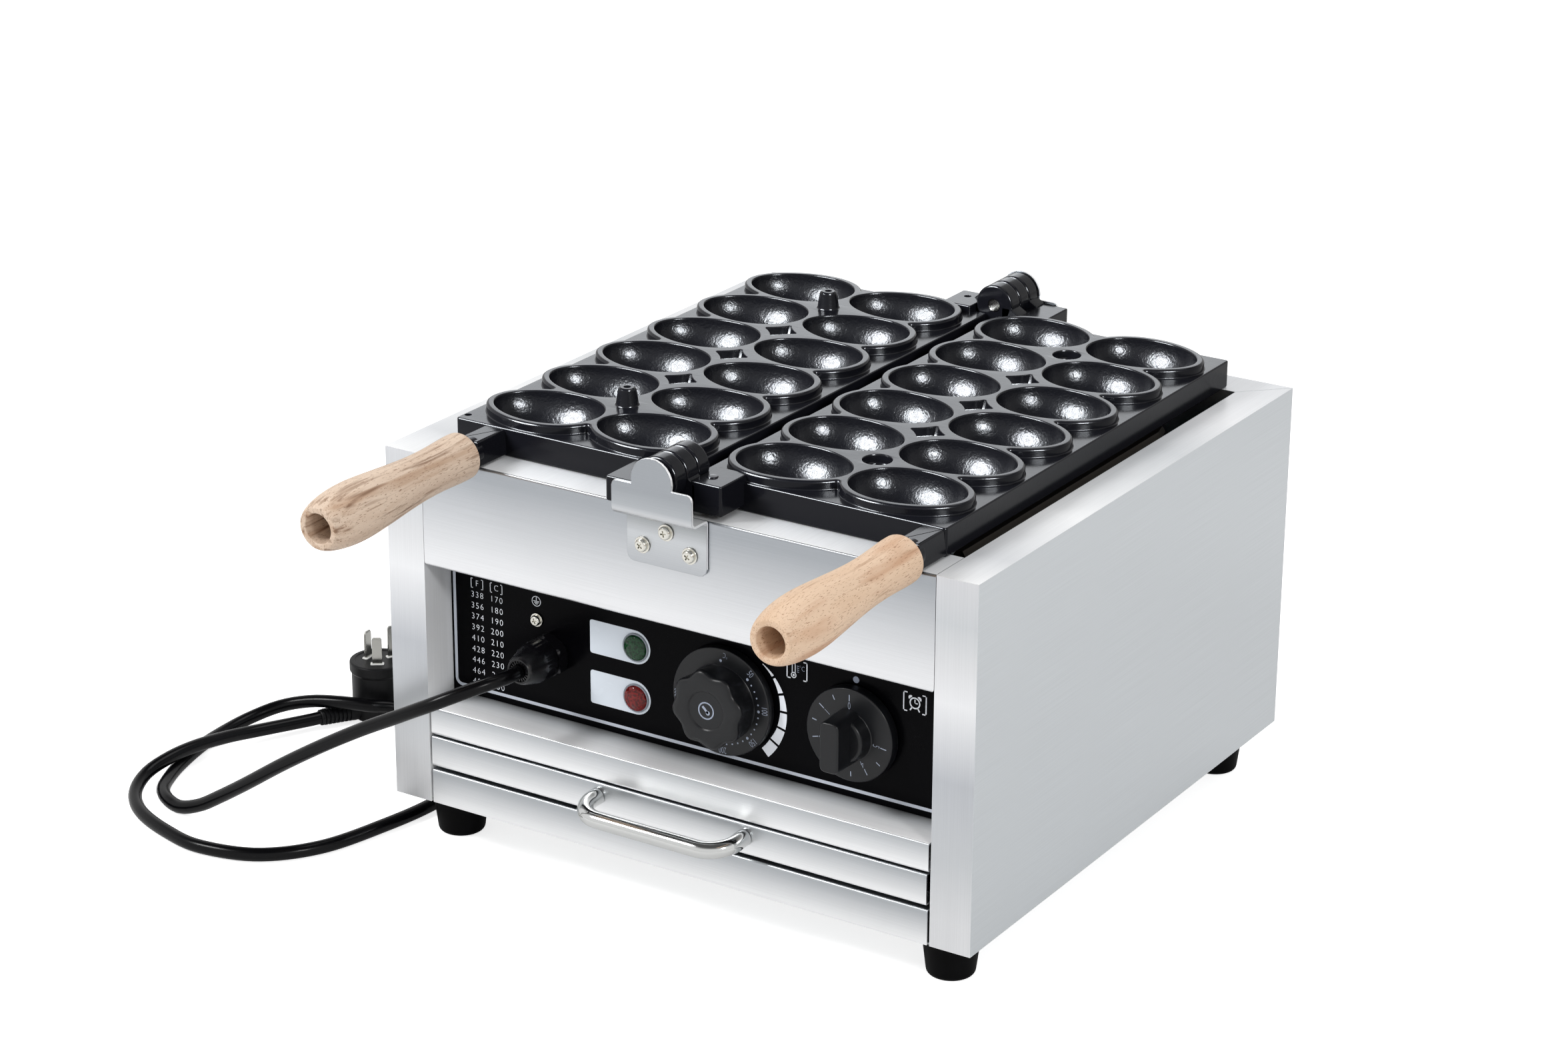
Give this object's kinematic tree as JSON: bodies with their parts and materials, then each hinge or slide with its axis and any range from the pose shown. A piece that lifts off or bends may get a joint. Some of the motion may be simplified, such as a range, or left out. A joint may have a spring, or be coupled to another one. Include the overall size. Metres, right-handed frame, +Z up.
{
  "type": "egg-shaped cake maker",
  "caption": "Electric countertop cake maker: two folding cast plates with egg-shaped cavities over heaters, control panel, crumb drawer.",
  "frame": {"origin": "on the table under the middle of the machine, measured without the mains lead", "axes": "+Z up, +X to the right seen from the front, the front with the controls faces -Y"},
  "size_m": [0.5846, 0.5428, 0.2875],
  "materials": {
    "stainless": "brushed stainless sheet",
    "black_coating": "glossy black non-stick coating on cast metal",
    "black_panel": "glossy black control panel with plain numbers",
    "black_plastic": "satin moulded plastic",
    "rubber": "moulded rubber",
    "beech": "turned beech, clear satin lacquer",
    "zinc": "zinc-plated steel",
    "chrome": "bright chrome plate",
    "heater": "dark oxidised heater sheath",
    "galvanised": "galvanised sheet",
    "green_lens": "translucent green lens",
    "red_lens": "translucent red lens",
    "cord_black": "smooth black cable sheath",
    "pin_metal": "nickel-plated pins"
  },
  "bodies": {
    "housing": {"side_panel_left": "stainless", "side_panel_right": "stainless", "rear_panel": "stainless", "front_fascia": "stainless", "sill_rail": "stainless", "base_rail": "stainless", "hinge_bracket_front": "stainless", "hinge_bracket_rear": "stainless", "bottom_pan": "galvanised", "deck_plate": "galvanised", "heat_partition": "galvanised", "drawer_runner_left": "galvanised", "drawer_runner_right": "galvanised", "element_rack": "galvanised", "thermostat_body": "galvanised", "timer_body": "galvanised", "foot_front_left": "rubber", "foot_rear_left": "rubber", "foot_front_right": "rubber", "foot_rear_right": "rubber", "control_panel": "black_panel", "heating_element_left": "heater", "heating_element_right": "heater", "bracket_screw_front_left": "zinc", "bracket_screw_front_right": "zinc", "bracket_screw_front_top": "zinc", "bracket_screw_rear_left": "zinc", "bracket_screw_rear_right": "zinc", "bracket_screw_rear_top": "zinc", "pivot_pin_front": "zinc", "pivot_pin_rear": "zinc", "thermostat_bulb": "zinc", "ground_screw": "zinc", "terminal_block": "black_plastic", "cable_gland": "black_plastic", "gland_nut": "black_plastic", "power_lamp": "green_lens", "heat_lamp": "red_lens", "power_cord": "cord_black", "plug_body": "cord_black", "plug_pin_live": "pin_metal", "plug_pin_neutral": "pin_metal", "plug_pin_earth": "pin_metal"},
    "left_plate": {"plate_left": "black_coating", "handle_nut_left": "chrome", "handle_grip_left": "beech", "handle_bolt_left": "zinc"},
    "right_plate": {"plate_right": "black_coating", "handle_nut_right": "chrome", "handle_grip_right": "beech", "handle_bolt_right": "zinc"},
    "drawer": {"drawer_front": "stainless", "drawer_tray": "stainless", "drawer_handle": "chrome"},
    "thermostat_dial": {"thermostat_knob": "black_plastic", "thermostat_shaft": "zinc"},
    "timer_dial": {"timer_knob": "black_plastic", "timer_shaft": "zinc"}
  },
  "joints": [
    {"name": "left_plate_fold", "type": "hinge", "parent": "housing", "child": "left_plate", "pos_m": [0, 0.06304, 0.2737], "axis": [0, 1, 0], "range_deg": [0, 180]},
    {"name": "right_plate_fold", "type": "hinge", "parent": "housing", "child": "right_plate", "pos_m": [0, 0.06304, 0.2737], "axis": [0, -1, 0], "range_deg": [0, 180]},
    {"name": "drawer_slide", "type": "slide", "parent": "housing", "child": "drawer", "axis": [0, -1, 0], "range_m": [0, 0.25]},
    {"name": "thermostat_turn", "type": "hinge", "parent": "housing", "child": "thermostat_dial", "pos_m": [0.0224, -0.11776, 0.1333], "axis": [0, -1, 0], "range_deg": [0, 270]},
    {"name": "timer_turn", "type": "hinge", "parent": "housing", "child": "timer_dial", "pos_m": [0.109, -0.11776, 0.1341], "axis": [0, 1, 0], "range_deg": [0, 262.5]}
  ]
}
